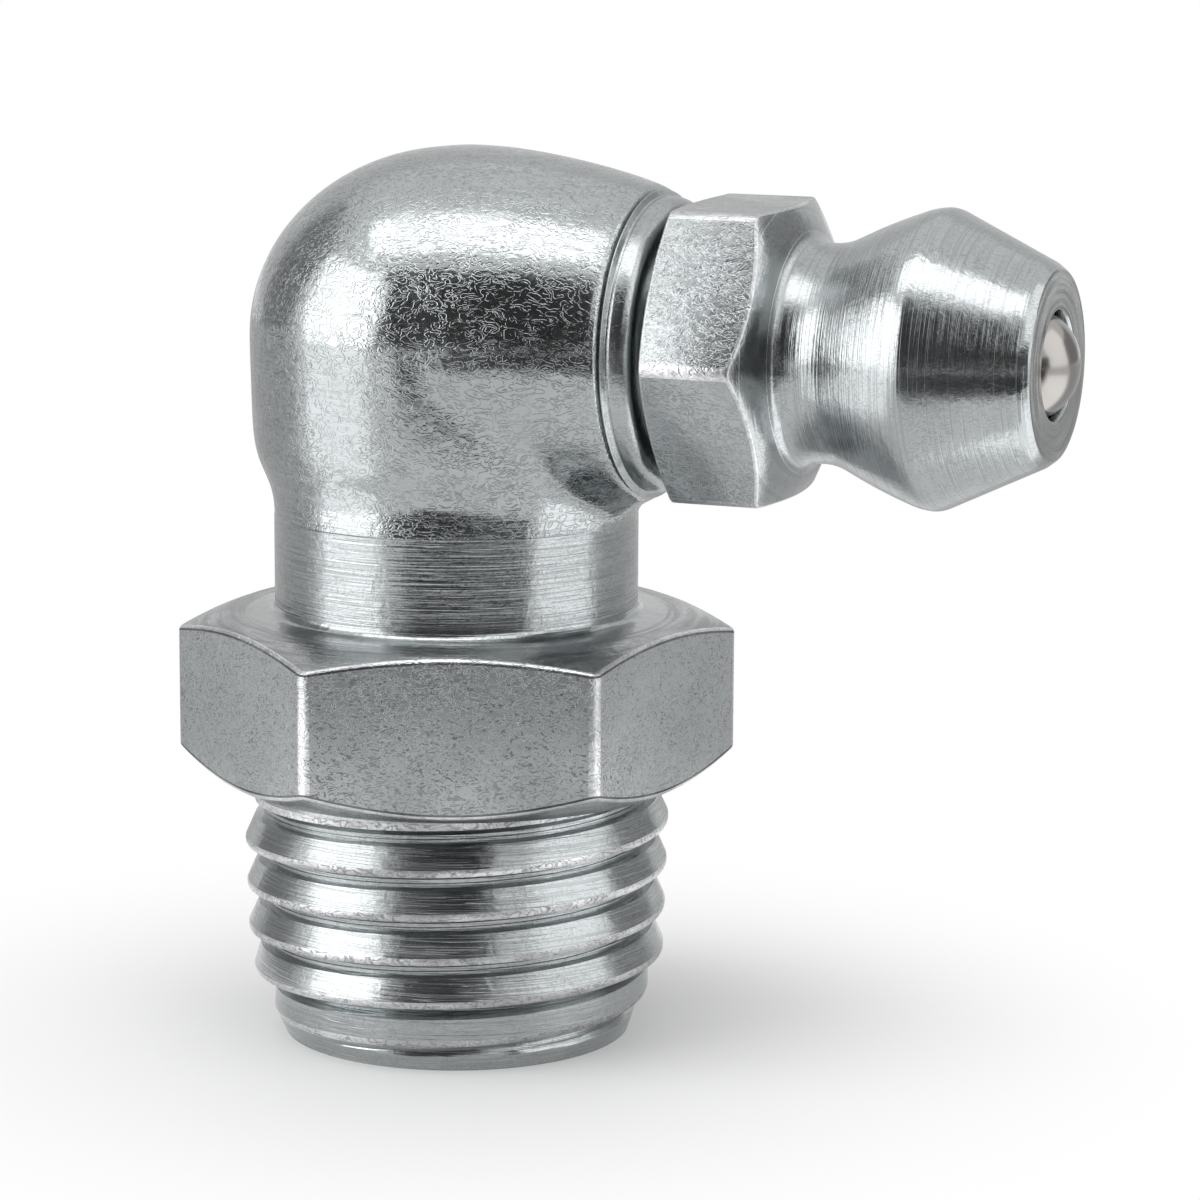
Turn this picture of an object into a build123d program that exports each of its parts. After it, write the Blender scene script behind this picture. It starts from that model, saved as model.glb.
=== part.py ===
from build123d import *
from math import cos, radians, sin, sqrt, tan
import os

# Angled grease fitting, 90 degrees: a forged elbow with a tapered threaded shank and a spanner hexagon,
# and a coupler head screwed into its side, with a spring-loaded check ball behind the head's lip.
# Millimetres. The origin is the centre of the shank's lower end, +Z runs up the shank's axis and the
# coupler head points along +X.

# Threaded shank, over the crests of its thread
shank_length = 5.9
thread_diameter = 9.7
thread_taper = 1 / 16
collar_height = 0.55
lead_in_diameter = 7.9
lead_in_height = 1.7

# Spanner hexagon of the elbow, turned a little against the head's direction
hex_across_flats = 11.0
hex_height = 3.75
hex_turn = -7.0
hex_edge_radius = 0.2
hex_face_diameter = 10.4
hex_top_angle = 20
hex_bottom_angle = 28

# Turned neck between the hexagon and the elbow
neck_diameter = 8.2
neck_height = 2.2
neck_foot = 0.3

# Elbow: a round leg that flares from the neck into a dome, and a barrel that leaves the dome for the mouth.
# The barrel is oval where it starts, inside the dome, and round at the mouth.
head_axis_height = 15.95
leg_flare_rise = 1.25
leg_flare_diameter = 9.02
leg_bulge_drop = 1.65
leg_bulge_diameter = 9.26
dome_diameter = 9.26
dome_rise = 4.18
barrel_root_x = -2.0
barrel_root_inset = 0.3
barrel_crown_x = 0.13
barrel_crown_width = 9.1
barrel_crown_height = 8.44
barrel_end_x = 4.88
barrel_mouth_diameter = 6.88
barrel_shares = (0, 0.4, 0.7, 1)
elbow_blend = 0.8

# Mouth of the elbow: past the barrel's flat end, a nose turned off in two chamfers
mouth_x = 5.5
nose_root_depth = 0.1
nose_diameter = 6.5
nose_land_length = 0.2
nose_shoulder_diameter = 6.2
nose_shoulder_length = 0.28
nose_face_diameter = 5.5

# Grease passage: two drillings that meet, and the socket of the head's stem
inlet_diameter = 3.2
inlet_countersink = 0.25
crossbore_diameter = 3.0
crossbore_end_x = -1.6
drill_point_angle = 118
socket_diameter = 5.0
socket_depth = 3.3

# Coupler head: stem, hexagon, grip groove and double cone
stem_clearance = 0.02
stem_length = 3.0
stem_chamfer = 0.3
mouth_gap = 0.25
head_hex_across_flats = 6.35
head_hex_turn = 4.0
head_hex_length = 2.65
head_hex_edge_radius = 0.12
head_hex_back_diameter = 6.25
head_hex_back_angle = 15
head_hex_face_diameter = 5.3
head_hex_face_angle = 28
groove_diameter = 4.76
groove_radius = 0.8
groove_width = 0.9
head_diameter = 6.5
head_back_length = 2.0
head_back_radius = 7.9
head_land_length = 0.3
head_cone_angle = 25.5
head_length = 8.5
face_diameter = 4.08
face_bevel = 0.2

# Check valve: ball, seat, spring and the chamber that holds them
ball_diameter = 2.5
ball_clearance = 0.1
ball_seat_gap = 0.02
orifice_diameter = 2.31
lip_thickness = 0.25
seat_angle = 20
chamber_depth = 6.1
passage_diameter = 1.7
spring_wire = 0.3
spring_diameter = 2.3
spring_active_turns = 4
spring_end_pitch = 0.34
spring_wire_sides = 6
spring_seat_gap = 0.02

# The head's axis, and the plane of its profiles: local x along the axis, local y away from it
head_axis = Axis((0, 0, head_axis_height), (1, 0, 0))
head_plane = Plane(origin=(0, 0, head_axis_height), x_dir=(1, 0, 0), z_dir=(0, -1, 0))


def chamfered_hexagon(across_flats, length, edge_radius, low_face, low_angle, high_face, high_angle):
    """Return a hexagon bar along +Z, a flat towards +X, its corners turned off to a circle at each end."""
    reach = across_flats / sqrt(3)
    low_rise = (reach - low_face / 2) * tan(radians(low_angle))
    high_rise = (reach - high_face / 2) * tan(radians(high_angle))
    with BuildPart() as bar:
        with BuildSketch() as section:
            RegularPolygon(across_flats / 2, 6, major_radius=False, rotation=30)
            fillet(section.vertices(), edge_radius)
        extrude(amount=length)
        with BuildSketch(Plane.XZ):
            with BuildLine():
                Polyline(
                    (0, 0),
                    (low_face / 2, 0),
                    (reach, low_rise),
                    (reach, length - high_rise),
                    (high_face / 2, length),
                    (0, length),
                    close=True,
                )
            make_face()
        revolve(axis=Axis.Z, mode=Mode.INTERSECT)
    return bar.part


# Places along the shank's axis and along the head's axis
taper_top = shank_length - collar_height
hex_top = shank_length + hex_height
neck_top = hex_top + neck_height
socket_floor_x = mouth_x - socket_depth
hex_back_x = mouth_x + mouth_gap
hex_face_x = hex_back_x + head_hex_length
tip_x = mouth_x + head_length
drill_point_slope = tan(radians(drill_point_angle / 2))

# Elbow body
thread_radius = thread_diameter / 2
taper_end_radius = thread_radius - (taper_top - lead_in_height) * thread_taper / 2
neck_radius = neck_diameter / 2
dome_radius = dome_diameter / 2
barrel_root_share = sqrt(1 - (barrel_root_x / dome_radius) ** 2)
nose_root_x = barrel_end_x - nose_root_depth
nose_land_end_x = barrel_end_x + nose_land_length
inlet_radius = inlet_diameter / 2
crossbore_radius = crossbore_diameter / 2

with BuildPart() as elbow_body:
    # Shank, neck, leg and dome, round about one axis: lead-in, taper, collar, neck with its chamfered foot
    with BuildSketch(Plane.XZ):
        with BuildLine():
            Polyline(
                (0, 0),
                (lead_in_diameter / 2, 0),
                (taper_end_radius, lead_in_height),
                (thread_radius, taper_top),
                (thread_radius, hex_top),
                (neck_radius + neck_foot, hex_top),
                (neck_radius, hex_top + neck_foot),
                (neck_radius, neck_top),
            )
            Spline(
                (neck_radius, neck_top),
                (leg_flare_diameter / 2, neck_top + leg_flare_rise),
                (leg_bulge_diameter / 2, head_axis_height - leg_bulge_drop),
                (dome_radius, head_axis_height),
                tangents=((0, 1), (0, 1)),
            )
            EllipticalCenterArc((0, head_axis_height), dome_radius, dome_rise, start_angle=0, arc_size=90)
            Line((0, head_axis_height + dome_rise), (0, 0))
        make_face()
    revolve(axis=Axis.Z)

    # Barrel: ovals that turn into the mouth's circle, blended into the dome and the leg
    with BuildSketch(Plane.YZ.offset(barrel_root_x)):
        with Locations((0, head_axis_height)):
            Ellipse(
                dome_radius * barrel_root_share - barrel_root_inset,
                dome_rise * barrel_root_share - barrel_root_inset,
            )
    for share in barrel_shares:
        with BuildSketch(Plane.YZ.offset(barrel_crown_x + share * (barrel_end_x - barrel_crown_x))):
            with Locations((0, head_axis_height)):
                Ellipse(
                    (barrel_crown_width - share**2 * (barrel_crown_width - barrel_mouth_diameter)) / 2,
                    (barrel_crown_height - share**2 * (barrel_crown_height - barrel_mouth_diameter)) / 2,
                )
    loft()
    crossing = elbow_body.edges(Select.NEW).filter_by(lambda edge: edge.bounding_box().max.X < nose_root_x)
    fillet(crossing, elbow_blend)

    # Nose round the mouth, rooted in the barrel: a land and two chamfers
    with BuildSketch(head_plane):
        with BuildLine():
            Polyline(
                (nose_root_x, 0),
                (nose_root_x, nose_diameter / 2),
                (nose_land_end_x, nose_diameter / 2),
                (nose_land_end_x + nose_shoulder_length, nose_shoulder_diameter / 2),
                (mouth_x, nose_face_diameter / 2),
                (mouth_x, 0),
                close=True,
            )
        make_face()
    revolve(axis=head_axis)

    # Spanner hexagon
    with Locations((0, 0, shank_length)):
        hexagon = chamfered_hexagon(
            hex_across_flats,
            hex_height,
            hex_edge_radius,
            hex_face_diameter,
            hex_bottom_angle,
            hex_face_diameter,
            hex_top_angle,
        )
        add(hexagon, rotation=(0, 0, hex_turn))

    # Vertical drilling up to the head's axis, countersunk at its mouth
    with BuildSketch(Plane.XZ):
        with BuildLine():
            Polyline(
                (0, 0),
                (inlet_radius + inlet_countersink, 0),
                (inlet_radius, inlet_countersink),
                (inlet_radius, head_axis_height),
                (0, head_axis_height + inlet_radius / drill_point_slope),
                close=True,
            )
        make_face()
    revolve(axis=Axis.Z, mode=Mode.SUBTRACT)

    # Socket for the head's stem, and the cross drilling behind it
    with BuildSketch(head_plane):
        with BuildLine():
            Polyline(
                (mouth_x, 0),
                (mouth_x, socket_diameter / 2),
                (socket_floor_x, socket_diameter / 2),
                (socket_floor_x, crossbore_radius),
                (crossbore_end_x, crossbore_radius),
                (crossbore_end_x - crossbore_radius / drill_point_slope, 0),
                close=True,
            )
        make_face()
    revolve(axis=head_axis, mode=Mode.SUBTRACT)

# Coupler head
stem_radius = socket_diameter / 2 - stem_clearance
stem_end_x = mouth_x - stem_length
groove_bottom = groove_diameter / 2
groove_depth = (head_hex_face_diameter - groove_diameter) / 2
groove_start_x = hex_face_x + sqrt(groove_radius**2 - (groove_radius - groove_depth) ** 2)
groove_end_x = hex_face_x + groove_width
head_radius = head_diameter / 2
land_start_x = groove_end_x + head_back_length
land_end_x = land_start_x + head_land_length
bevel_start_x = tip_x - face_bevel
bevel_radius = head_radius - (bevel_start_x - land_end_x) * tan(radians(head_cone_angle))
ball_radius = ball_diameter / 2
chamber_radius = ball_radius + ball_clearance
chamber_back_x = tip_x - chamber_depth
orifice_radius = orifice_diameter / 2
seat_end_x = tip_x - lip_thickness
seat_start_x = seat_end_x - (chamber_radius - orifice_radius) / tan(radians(seat_angle))

with BuildPart() as coupler_head:
    # Stem, grip groove, land and cone, turned in one
    with BuildSketch(head_plane):
        with BuildLine():
            Polyline(
                (stem_end_x, 0),
                (stem_end_x, stem_radius - stem_chamfer),
                (stem_end_x + stem_chamfer, stem_radius),
                (hex_back_x, stem_radius),
                (hex_face_x, head_hex_face_diameter / 2),
            )
            TangentArc(
                (groove_start_x, groove_bottom), (hex_face_x, head_hex_face_diameter / 2), tangent=(-1, 0)
            )
            Line((groove_start_x, groove_bottom), (groove_end_x, groove_bottom))
            RadiusArc((groove_end_x, groove_bottom), (land_start_x, head_radius), head_back_radius)
            Polyline(
                (land_start_x, head_radius),
                (land_end_x, head_radius),
                (bevel_start_x, bevel_radius),
                (tip_x, face_diameter / 2),
                (tip_x, 0),
                (stem_end_x, 0),
            )
        make_face()
    revolve(axis=head_axis)

    # Small hexagon, a flat nearly upwards
    with Locations(Plane(origin=(hex_back_x, 0, head_axis_height), x_dir=(0, 0, 1), z_dir=(1, 0, 0))):
        hexagon = chamfered_hexagon(
            head_hex_across_flats,
            head_hex_length,
            head_hex_edge_radius,
            head_hex_back_diameter,
            head_hex_back_angle,
            head_hex_face_diameter,
            head_hex_face_angle,
        )
        add(hexagon, rotation=(0, 0, head_hex_turn))

    # Bore: passage through the stem, the shoulder under the spring, the chamber, the seat and the orifice
    with BuildSketch(head_plane):
        with BuildLine():
            Polyline(
                (stem_end_x, 0),
                (stem_end_x, passage_diameter / 2),
                (chamber_back_x, passage_diameter / 2),
                (chamber_back_x, chamber_radius),
                (seat_start_x, chamber_radius),
                (seat_end_x, orifice_radius),
                (tip_x, orifice_radius),
                (tip_x, 0),
                close=True,
            )
        make_face()
    revolve(axis=head_axis, mode=Mode.SUBTRACT)

# Check ball, a hair off its cone seat
seat_reach = ball_radius + ball_seat_gap - orifice_radius * cos(radians(seat_angle))
ball_x = seat_end_x - seat_reach / sin(radians(seat_angle))

with BuildPart() as check_ball:
    with Locations((ball_x, 0, head_axis_height)):
        Sphere(ball_radius)

# Spring: a closed turn at each end, and open turns between them that fill the length behind the ball
wire_radius = spring_wire / 2
coil_radius = spring_diameter / 2 - wire_radius
coil_start_x = chamber_back_x + spring_seat_gap + wire_radius
coil_end_x = ball_x - sqrt((ball_radius + wire_radius + spring_seat_gap) ** 2 - coil_radius**2)
active_length = coil_end_x - coil_start_x - 2 * spring_end_pitch
spring_pitch = active_length / spring_active_turns

with BuildPart() as check_spring:
    with BuildLine() as coil:
        Helix(spring_end_pitch, spring_end_pitch, coil_radius, (coil_start_x, 0, head_axis_height), (1, 0, 0))
        Helix(
            spring_pitch,
            active_length,
            coil_radius,
            (coil_start_x + spring_end_pitch, 0, head_axis_height),
            (1, 0, 0),
        )
        Helix(
            spring_end_pitch,
            spring_end_pitch,
            coil_radius,
            (coil_end_x - spring_end_pitch, 0, head_axis_height),
            (1, 0, 0),
        )
    with BuildSketch(Plane(origin=coil.line @ 0, z_dir=coil.line % 0)):
        RegularPolygon(wire_radius, spring_wire_sides)
    sweep(path=coil.line)

elbow_body.part.label = "elbow_body"
coupler_head.part.label = "coupler_head"
check_ball.part.label = "check_ball"
check_spring.part.label = "check_spring"

os.makedirs("parts", exist_ok=True)
for piece in (elbow_body, coupler_head, check_ball, check_spring):
    export_step(piece.part, f"parts/{piece.part.label}.step")
    print(piece.part.label, round(piece.part.volume, 2), piece.part.bounding_box())
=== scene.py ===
"""Studio picture of a right-angle grease fitting: its solids dressed in bright zinc plate, its thread cut.

The scene works in metres, in the frame of the solids: the origin is the centre of the shank's lower end,
+Z runs up the shank and +X along the coupler head. Sizes are written in millimetres and turned into metres
where a mesh is made.
"""
import logging
import math
from dataclasses import dataclass, field
from enum import Enum, IntEnum
from typing import Iterable, Sequence, Union

import bmesh
import bpy
from mathutils import Matrix, Vector


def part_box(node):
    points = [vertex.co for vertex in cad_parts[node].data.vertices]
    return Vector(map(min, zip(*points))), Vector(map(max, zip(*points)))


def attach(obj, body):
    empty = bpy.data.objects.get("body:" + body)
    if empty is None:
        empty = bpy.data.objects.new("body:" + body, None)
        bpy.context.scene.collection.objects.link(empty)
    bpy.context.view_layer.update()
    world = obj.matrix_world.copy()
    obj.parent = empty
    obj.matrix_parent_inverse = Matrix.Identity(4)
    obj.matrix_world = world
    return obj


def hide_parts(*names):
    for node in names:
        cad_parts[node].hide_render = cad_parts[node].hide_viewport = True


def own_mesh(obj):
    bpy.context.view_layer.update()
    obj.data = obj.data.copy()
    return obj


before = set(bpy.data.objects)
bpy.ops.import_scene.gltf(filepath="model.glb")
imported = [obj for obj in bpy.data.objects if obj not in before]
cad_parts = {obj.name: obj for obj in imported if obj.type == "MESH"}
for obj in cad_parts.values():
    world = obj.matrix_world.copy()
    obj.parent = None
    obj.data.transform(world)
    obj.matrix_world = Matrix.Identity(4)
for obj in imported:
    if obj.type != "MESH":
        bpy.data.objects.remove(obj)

MM = 0.001
TO_MM = 1 / MM
ROUND_STEPS = 192
HEAD_HEIGHT = 15.95

log = logging.getLogger("grease_fitting")

Socket = bpy.types.NodeSocket
Value = Union[float, tuple, Socket]


class Turning(Enum):
    """The axis that a surface was turned about, as the rotation that lays it along Z."""

    SHANK = (0.0, 0.0, 0.0)
    HEAD = (0.0, -math.pi / 2, 0.0)


class HexagonFace(IntEnum):
    """The kinds of face on a hexagon bar, as the indices of their materials."""

    FLAT = 0
    EDGE = 1
    END = 2
    # The dark strip under each rim: painted shade, standing for the shadow under the rim's lip.
    PAINTED_SHADE = 3


class ThreadFace(IntEnum):
    """The kinds of face on the thread, as the indices of their materials."""

    FLANK = 0
    CREST = 1


class HeadFace(IntEnum):
    """The kinds of face on the coupler head, as the indices of their materials."""

    ROUND = 0
    TIP = 1


@dataclass(frozen=True)
class Corner:
    """A corner of a turned profile, in millimetres.

    Args:
        along: Distance along the axis of turning.
        radius: Distance from that axis.
        rounding: How far from the corner its rounding starts, or 0 for a sharp corner.
    """

    along: float
    radius: float
    rounding: float = 0.0


# Node trees


class Sheet:
    """A node tree with the few moves that every finish is built from."""

    # Places of a Mix node's factor, first colour and second colour, and of its colour output
    COLOUR_INPUTS = (0, 6, 7)
    COLOUR_OUTPUT = 2

    def __init__(self, tree: bpy.types.NodeTree) -> None:
        """Take the tree to work on."""
        self.tree = tree

    def feed(self, socket: Socket, value: Value) -> None:
        """Link a socket to another one, or set its own value."""
        if isinstance(value, bpy.types.NodeSocket):
            self.tree.links.new(value, socket)
        else:
            socket.default_value = value

    def add(self, kind: str, inputs: dict[str, Value] | None = None, **settings: object) -> bpy.types.Node:
        """Add a node.

        Args:
            kind: The node's type.
            inputs: Values or sockets for its inputs, by name.
            settings: Properties of the node itself.

        Returns:
            The new node.
        """
        node = self.tree.nodes.new(kind)
        for name, value in settings.items():
            setattr(node, name, value)
        for name, value in (inputs or {}).items():
            self.feed(node.inputs[name], value)
        return node

    def math(self, operation: str, *values: Value) -> Socket:
        """Add a Math node and return its output."""
        node = self.add("ShaderNodeMath", operation=operation)
        for socket, value in zip(node.inputs, values):
            self.feed(socket, value)
        return node.outputs[0]

    def fade(self, value: Value, start: float, end: float, low: float = 0.0, high: float = 1.0) -> Socket:
        """Return a smooth step of a value between two others."""
        node = self.add(
            "ShaderNodeMapRange",
            {"Value": value, "From Min": start, "From Max": end, "To Min": low, "To Max": high},
            interpolation_type="SMOOTHSTEP",
        )
        return node.outputs["Result"]

    def scale(
        self, vector: Socket, factors: tuple[float, float, float], rotation: tuple = (0, 0, 0)
    ) -> Socket:
        """Turn a vector, then stretch it along each axis."""
        turned = self.add("ShaderNodeMapping", {"Vector": vector, "Rotation": rotation})
        node = self.add("ShaderNodeMapping", {"Vector": turned.outputs[0], "Scale": factors})
        return node.outputs["Vector"]

    def noise(self, vector: Socket, scale: Value, detail: float = 2.0, distortion: float = 0.0) -> Socket:
        """Return a noise texture's value, about 0.5 on average."""
        node = self.add(
            "ShaderNodeTexNoise",
            {"Vector": vector, "Scale": scale, "Detail": detail, "Distortion": distortion},
        )
        return node.outputs["Fac"]

    def mix(self, factor: Value, first: Value, second: Value) -> Socket:
        """Return a colour mixed from two."""
        node = self.add("ShaderNodeMix", data_type="RGBA")
        for index, value in zip(self.COLOUR_INPUTS, (factor, first, second)):
            self.feed(node.inputs[index], value)
        return node.outputs[self.COLOUR_OUTPUT]


def node_group(name: str, inputs: dict[str, tuple[str, object]], outputs: dict[str, str]) -> tuple:
    """Start a shader node group.

    Args:
        name: The group's name.
        inputs: The type and first value of each input, by name.
        outputs: The type of each output, by name.

    Returns:
        The group's tree, its sheet, its input node and its output node.
    """
    tree = bpy.data.node_groups.new(name, "ShaderNodeTree")
    for label, (kind, value) in inputs.items():
        socket = tree.interface.new_socket(label, in_out="INPUT", socket_type=kind)
        if value is not None:
            socket.default_value = value
    for label, kind in outputs.items():
        tree.interface.new_socket(label, in_out="OUTPUT", socket_type=kind)
    sheet = Sheet(tree)
    return tree, sheet, sheet.add("NodeGroupInput"), sheet.add("NodeGroupOutput")


class Effects:
    """The shader node groups that the finishes share, each built once."""

    def __init__(self) -> None:
        """Build the groups."""
        self.turning_marks = self._turning_marks()
        self.forged_grain = self._forged_grain()
        self.cloudy_tone = self._cloudy_tone()

    @staticmethod
    def _turning_marks() -> bpy.types.NodeTree:
        """Build the tool marks of a surface turned about Z: long fine rings that break up round the piece.

        Facing is how much of the rings' spacing runs across the axis, for a surface turned on its end.
        """
        tree, sheet, given, result = node_group(
            "turning_marks",
            {
                "Position": ("NodeSocketVector", None),
                "Rings": ("NodeSocketFloat", 14.0),
                "Breaks": ("NodeSocketFloat", 0.5),
                "Facing": ("NodeSocketFloat", 0.0),
            },
            {"Height": "NodeSocketFloat", "Lines": "NodeSocketFloat", "Scratches": "NodeSocketFloat"},
        )
        parts = sheet.add("ShaderNodeSeparateXYZ", {"Vector": given.outputs["Position"]}).outputs
        across = sheet.add("ShaderNodeCombineXYZ", {"X": parts["X"], "Y": parts["Y"]}).outputs[0]
        reach = sheet.add("ShaderNodeVectorMath", operation="LENGTH")
        sheet.feed(reach.inputs[0], across)
        along = sheet.math("MULTIPLY_ADD", reach.outputs["Value"], given.outputs["Facing"], parts["Z"])
        position = sheet.add(
            "ShaderNodeCombineXYZ", {"X": parts["X"], "Y": parts["Y"], "Z": along}
        ).outputs[0]
        heights = []
        for finer, shorter, detail in ((1.0, 1.0, 3.0), (0.22, 0.3, 1.0), (2.2, 1.6, 0.0)):
            rings = sheet.math("MULTIPLY", given.outputs["Rings"], finer)
            breaks = sheet.math("MULTIPLY", given.outputs["Breaks"], shorter)
            stretch = sheet.add("ShaderNodeCombineXYZ", {"X": breaks, "Y": breaks, "Z": rings})
            place = sheet.add("ShaderNodeVectorMath", operation="MULTIPLY")
            sheet.feed(place.inputs[0], position)
            sheet.feed(place.inputs[1], stretch.outputs[0])
            heights.append(sheet.noise(place.outputs[0], 1.0, detail))
        fine, broad, torn = heights
        scratches = sheet.fade(torn, 0.6, 0.66)
        height = sheet.math("ADD", sheet.math("MULTIPLY", fine, 0.6), sheet.math("MULTIPLY", broad, 0.4))
        height = sheet.math("MULTIPLY_ADD", scratches, -0.12, height)
        sheet.feed(result.inputs["Height"], height)
        sheet.feed(result.inputs["Lines"], sheet.fade(fine, 0.35, 0.65))
        sheet.feed(result.inputs["Scratches"], scratches)
        return tree

    @staticmethod
    def _forged_grain() -> bpy.types.NodeTree:
        """Build the skin of a forging under its plate: slow waves, small dents and fine curly worms."""
        tree, sheet, given, result = node_group(
            "forged_grain",
            {
                "Position": ("NodeSocketVector", None),
                "Waves": ("NodeSocketFloat", 0.5),
                "Dents": ("NodeSocketFloat", 2.4),
                "Worms": ("NodeSocketFloat", 7.0),
            },
            {"Height": "NodeSocketFloat", "Grain": "NodeSocketFloat", "Worms": "NodeSocketFloat"},
        )
        position = given.outputs["Position"]
        waves = sheet.noise(position, given.outputs["Waves"], 1.0)
        dents = sheet.noise(position, given.outputs["Dents"], 2.0, 0.6)
        curls = sheet.noise(sheet.scale(position, (0.6, 0.8, 1.0)), given.outputs["Worms"], 1.0, 1.8)
        ridge = sheet.math("ABSOLUTE", sheet.math("SUBTRACT", curls, 0.5))
        patches = sheet.fade(sheet.noise(position, 1.1, 2.0), 0.38, 0.6, 0.65, 1.0)
        worms = sheet.math("MULTIPLY", sheet.fade(ridge, 0.0, 0.07, 1.0, 0.0), patches)
        sheet.feed(result.inputs["Height"], waves)
        sheet.feed(result.inputs["Grain"], dents)
        sheet.feed(result.inputs["Worms"], worms)
        return tree

    @staticmethod
    def _cloudy_tone() -> bpy.types.NodeTree:
        """Build the slow drift of tone that zinc plate shows over a piece, with a few small specks."""
        tree, sheet, given, result = node_group(
            "cloudy_tone",
            {
                "Position": ("NodeSocketVector", None),
                "Clouds": ("NodeSocketFloat", 0.35),
                "Specks": ("NodeSocketFloat", 9.0),
            },
            {"Cloud": "NodeSocketFloat", "Speck": "NodeSocketFloat"},
        )
        cloud = sheet.noise(given.outputs["Position"], given.outputs["Clouds"], 3.0)
        speck = sheet.noise(given.outputs["Position"], given.outputs["Specks"], 1.0)
        sheet.feed(result.inputs["Cloud"], sheet.fade(cloud, 0.35, 0.65))
        sheet.feed(result.inputs["Speck"], sheet.fade(speck, 0.66, 0.72))
        return tree


@dataclass(frozen=True)
class ZincFinish:
    """A bright zinc-plated metal surface.

    Args:
        name: The material's name.
        bright: Linear colour of the clean plate.
        dull: Linear colour of the plate where it has clouded.
        pit: Linear colour at the bottom of the finest marks.
        roughness: Roughness of the clean plate.
        roughness_spread: How much the grain adds to the roughness.
        waves, dents, worms: Heights of the forged grain's three sizes, in millimetres.
        dent_scale, worm_scale: Their densities, per millimetre.
        rings: Height of the turning marks, in millimetres.
        ring_density: Marks per millimetre along the axis.
        ring_breaks: How soon a mark ends round the piece, per millimetre.
        facing: How much of the marks' spacing runs across the axis.
        line_tone: How dull the marks' own lines are, from 0 to 1.
        scratch_tone: How dark the deepest marks are, from 0 to 1.
        pit_tone: How dull the bottoms of the worms are, from 0 to 1.
        turning: The axis that the marks run round.
        turned_zone: Heights where the marks are full and where they have faded out, or None if they are
            full everywhere.
    """

    name: str
    bright: tuple[float, float, float] = (0.44, 0.465, 0.475)
    dull: tuple[float, float, float] = (0.37, 0.39, 0.39)
    pit: tuple[float, float, float] = (0.17, 0.175, 0.175)
    roughness: float = 0.24
    roughness_spread: float = 0.1
    waves: float = 0.0
    dents: float = 0.0
    worms: float = 0.0
    dent_scale: float = 2.4
    worm_scale: float = 7.0
    rings: float = 0.0
    ring_density: float = 14.0
    ring_breaks: float = 0.25
    facing: float = 0.0
    line_tone: float = 0.6
    scratch_tone: float = 0.25
    pit_tone: float = 0.4
    turning: Turning = Turning.SHANK
    turned_zone: tuple[float, float] | None = None

    def build(self, effects: Effects, axis_height: float) -> bpy.types.Material:
        """Make the material.

        Args:
            effects: The shared node groups.
            axis_height: Height of the head's axis in millimetres, for marks that run round it.

        Returns:
            The finished material.
        """
        material = bpy.data.materials.new(self.name)
        material.use_nodes = True
        sheet = Sheet(material.node_tree)
        shader = material.node_tree.nodes["Principled BSDF"]
        shader.inputs["Metallic"].default_value = 1.0
        coordinates = sheet.add("ShaderNodeTexCoord").outputs["Object"]
        centre = (0.0, 0.0, -axis_height if self.turning is Turning.HEAD else 0.0)
        millimetres = sheet.add(
            "ShaderNodeMapping",
            {"Vector": coordinates, "Scale": (TO_MM, TO_MM, TO_MM), "Location": centre},
        ).outputs["Vector"]
        tone = sheet.add("ShaderNodeGroup", node_tree=effects.cloudy_tone)
        sheet.feed(tone.inputs["Position"], millimetres)
        colour_mask = tone.outputs["Cloud"]
        pits: Value = tone.outputs["Speck"]
        rough = sheet.math("MULTIPLY_ADD", tone.outputs["Cloud"], self.roughness_spread, self.roughness)
        heights: list[Socket] = []
        if self.worms or self.dents or self.waves:
            grain = sheet.add("ShaderNodeGroup", node_tree=effects.forged_grain)
            sheet.feed(grain.inputs["Position"], millimetres)
            grain.inputs["Dents"].default_value = self.dent_scale
            grain.inputs["Worms"].default_value = self.worm_scale
            for output, height in (("Height", self.waves), ("Grain", self.dents), ("Worms", -self.worms)):
                heights.append(sheet.math("MULTIPLY", grain.outputs[output], height))
            pits = sheet.math("MULTIPLY", grain.outputs["Worms"], self.pit_tone)
        if self.rings:
            turned = sheet.scale(millimetres, (1.0, 1.0, 1.0), self.turning.value)
            marks = sheet.add("ShaderNodeGroup", node_tree=effects.turning_marks)
            sheet.feed(marks.inputs["Position"], turned)
            marks.inputs["Rings"].default_value = self.ring_density
            marks.inputs["Breaks"].default_value = self.ring_breaks
            marks.inputs["Facing"].default_value = self.facing
            lines = sheet.math("MULTIPLY", marks.outputs["Lines"], self.line_tone)
            torn = sheet.math("MULTIPLY", marks.outputs["Scratches"], self.scratch_tone)
            ring_height: Value = self.rings
            if self.turned_zone:
                along = sheet.add("ShaderNodeSeparateXYZ", {"Vector": turned}).outputs["Z"]
                share = sheet.fade(along, *self.turned_zone, 1.0, 0.0)
                ring_height = sheet.math("MULTIPLY", share, self.rings)
                torn = sheet.math("MULTIPLY", torn, share)
            heights.append(sheet.math("MULTIPLY", marks.outputs["Height"], ring_height))
            colour_mask = sheet.math("MAXIMUM", lines, sheet.math("MULTIPLY", colour_mask, 0.7))
            pits = sheet.math("MAXIMUM", pits, torn)
        colour = sheet.mix(colour_mask, (*self.bright, 1.0), (*self.dull, 1.0))
        colour = sheet.mix(pits, colour, (*self.pit, 1.0))
        sheet.feed(shader.inputs["Base Color"], colour)
        sheet.feed(shader.inputs["Roughness"], rough)
        if heights:
            total = heights[0]
            for height in heights[1:]:
                total = sheet.math("ADD", total, height)
            bump = sheet.add("ShaderNodeBump", {"Height": total, "Strength": 1.0, "Distance": MM})
            sheet.feed(shader.inputs["Normal"], bump.outputs["Normal"])
        return material


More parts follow.
